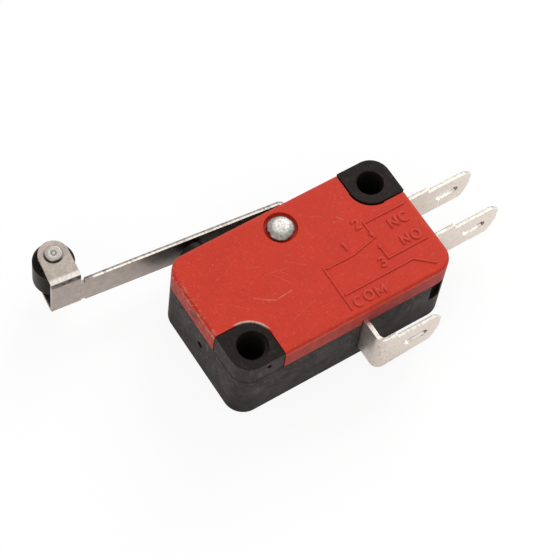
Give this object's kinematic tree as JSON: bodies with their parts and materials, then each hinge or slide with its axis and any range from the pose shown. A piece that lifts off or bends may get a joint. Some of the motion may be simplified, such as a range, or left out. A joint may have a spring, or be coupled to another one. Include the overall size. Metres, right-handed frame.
{
  "type": "lever micro switch",
  "caption": "Snap-action micro switch: long hinged roller lever presses a plunger that flips a contact arm between blade terminals.",
  "frame": {"origin": "axis of the mounting hole nearest the plunger, on the flat back face of the case", "axes": "+X along the case towards the blade terminals, +Y towards the plunger and lever, +Z out of the cover"},
  "size_m": [0.049, 0.0293, 0.0105],
  "materials": {
    "case": "black glass-filled moulding, satin",
    "cover": "red moulding, satin",
    "rivet": "peened",
    "lever": "stainless strip, sheared edges",
    "roller_pin": "peened",
    "roller": "black moulding",
    "plunger": "black moulding",
    "terminal": "plated sheet",
    "contact": "silver alloy",
    "blade": "rolled copper alloy",
    "spring": "drawn wire"
  },
  "bodies": {
    "housing": {"case": "case", "cover": "cover", "hinge_rivet": "rivet", "com_terminal": "terminal", "nc_terminal": "terminal", "no_terminal": "terminal", "nc_contact": "contact", "no_contact": "contact"},
    "lever_arm": {"lever": "lever", "roller_pin": "roller_pin"},
    "roller": {"roller": "roller"},
    "plunger": {"plunger": "plunger"},
    "tongue": {"tongue": "blade"},
    "blade": {"contact_arm": "blade", "moving_contact": "contact"},
    "spring": {"snap_spring": "spring"}
  },
  "joints": [
    {"name": "lever_hinge", "type": "hinge", "parent": "housing", "child": "lever_arm", "pos_m": [0.01055, 0.0105, 0.00515], "axis": [0, 0, 1], "range_deg": [0, 11], "stiffness_Nm_per_rad": 0.05, "springref_deg": -5.73},
    {"name": "roller_spin", "type": "hinge", "parent": "lever_arm", "child": "roller", "pos_m": [-0.01195, 0.0208, 0.00515], "axis": [0, 0, 1], "continuous": true},
    {"name": "plunger_slide", "type": "slide", "parent": "housing", "child": "plunger", "axis": [0, -1, 0], "range_m": [0, 0.0016]},
    {"name": "tongue_hinge", "type": "hinge", "parent": "housing", "child": "tongue", "pos_m": [0.009, 0.00719, 0.00492], "axis": [0, 0, 1], "range_deg": [0, 13.73]},
    {"name": "blade_hinge", "type": "hinge", "parent": "housing", "child": "blade", "pos_m": [0.00415, 0.00534, 0.00492], "axis": [0, 0, 1], "range_deg": [-5.17, 0]},
    {"name": "spring_hinge", "type": "hinge", "parent": "blade", "child": "spring", "pos_m": [0.013, 0.00534, 0.00492], "axis": [0, 0, 1], "range_deg": [0, 9.78]}
  ],
  "couplings": [
    {"joint": "plunger_slide", "follows": "lever_hinge", "m_per_rad": 0.008214},
    {"joint": "tongue_hinge", "follows": "lever_hinge", "ratio": 1.2387},
    {"joint": "blade_hinge", "follows": "lever_hinge", "ratio": -0.4655},
    {"joint": "spring_hinge", "follows": "lever_hinge", "ratio": 0.8802}
  ]
}
